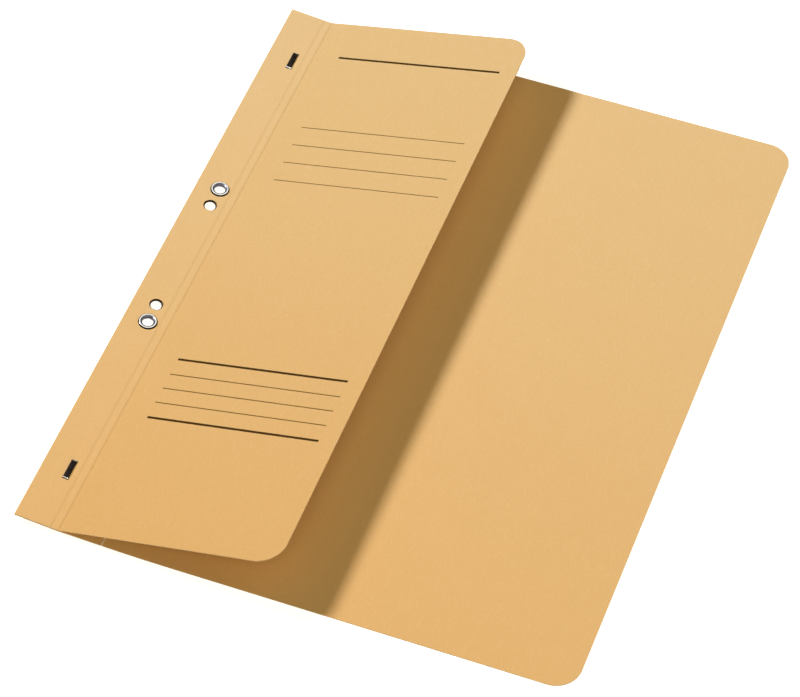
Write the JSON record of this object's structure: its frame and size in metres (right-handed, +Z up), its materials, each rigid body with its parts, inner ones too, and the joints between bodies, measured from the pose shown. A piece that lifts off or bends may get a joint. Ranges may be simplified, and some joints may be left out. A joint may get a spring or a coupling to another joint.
{
  "type": "half-cover eyelet folder",
  "caption": "Manila card folder with a half-width hinged front cover, an eyeleted and stitched binding strip for ring mechanisms, and a prong fastener for punched sheets.",
  "frame": {"origin": "middle of the back cover's underside: mid-width and mid-height of the folder, on the table", "axes": "+X from the bound edge to the free edge, +Y up the page, +Z up from the table out of the open folder"},
  "size_m": [0.2379, 0.305, 0.0256],
  "materials": {
    "back_cover": "matt manila card, 250 g/m2",
    "back_margin": "matt manila card, 250 g/m2",
    "strip_back": "matt manila card, 250 g/m2",
    "strip_front": "matt manila card, 250 g/m2",
    "front_band": "matt manila card, 250 g/m2",
    "front_cover": "matt manila card, 250 g/m2",
    "eyelet_upper": "nickel-plated steel",
    "eyelet_lower": "nickel-plated steel",
    "stitch_upper": "dark bright-drawn flat wire",
    "stitch_lower": "dark bright-drawn flat wire",
    "fastener_base": "tinplate",
    "cover_bar": "tinplate",
    "slider_upper": "tinplate",
    "slider_lower": "tinplate"
  },
  "bodies": {
    "back": {"back_cover": "back_cover"},
    "margin": {"back_margin": "back_margin", "fastener_base": "fastener_base", "cover_bar": "cover_bar"},
    "strip": {"strip_back": "strip_back", "strip_front": "strip_front", "eyelet_upper": "eyelet_upper", "eyelet_lower": "eyelet_lower", "stitch_upper": "stitch_upper", "stitch_lower": "stitch_lower"},
    "band": {"front_band": "front_band"},
    "cover": {"front_cover": "front_cover"},
    "slider_upper": {"slider_upper": "slider_upper"},
    "slider_lower": {"slider_lower": "slider_lower"}
  },
  "joints": [
    {"name": "back_fold", "type": "hinge", "parent": "back", "child": "margin", "pos_m": [-0.081, 0, 0.00098], "axis": [0, 1, 0], "range_deg": [-1.8, 6]},
    {"name": "spine_fold", "type": "hinge", "parent": "margin", "child": "strip", "pos_m": [-0.09968, 0, 0.00189], "axis": [0, 1, 0], "range_deg": [-6, 1.5]},
    {"name": "band_fold", "type": "hinge", "parent": "strip", "child": "band", "pos_m": [-0.10308, 0, 0.00298], "axis": [0, -1, 0], "range_deg": [-1.2, 78]},
    {"name": "cover_fold", "type": "hinge", "parent": "band", "child": "cover", "pos_m": [-0.0996, 0, 0.00259], "axis": [0, -1, 0], "range_deg": [-1.2, 78]},
    {"name": "slider_upper_slide", "type": "slide", "parent": "margin", "child": "slider_upper", "axis": [0, -1, 0], "range_m": [-0.014, 0.0075]},
    {"name": "slider_lower_slide", "type": "slide", "parent": "margin", "child": "slider_lower", "axis": [0, 1, 0], "range_m": [-0.014, 0.0075]}
  ]
}
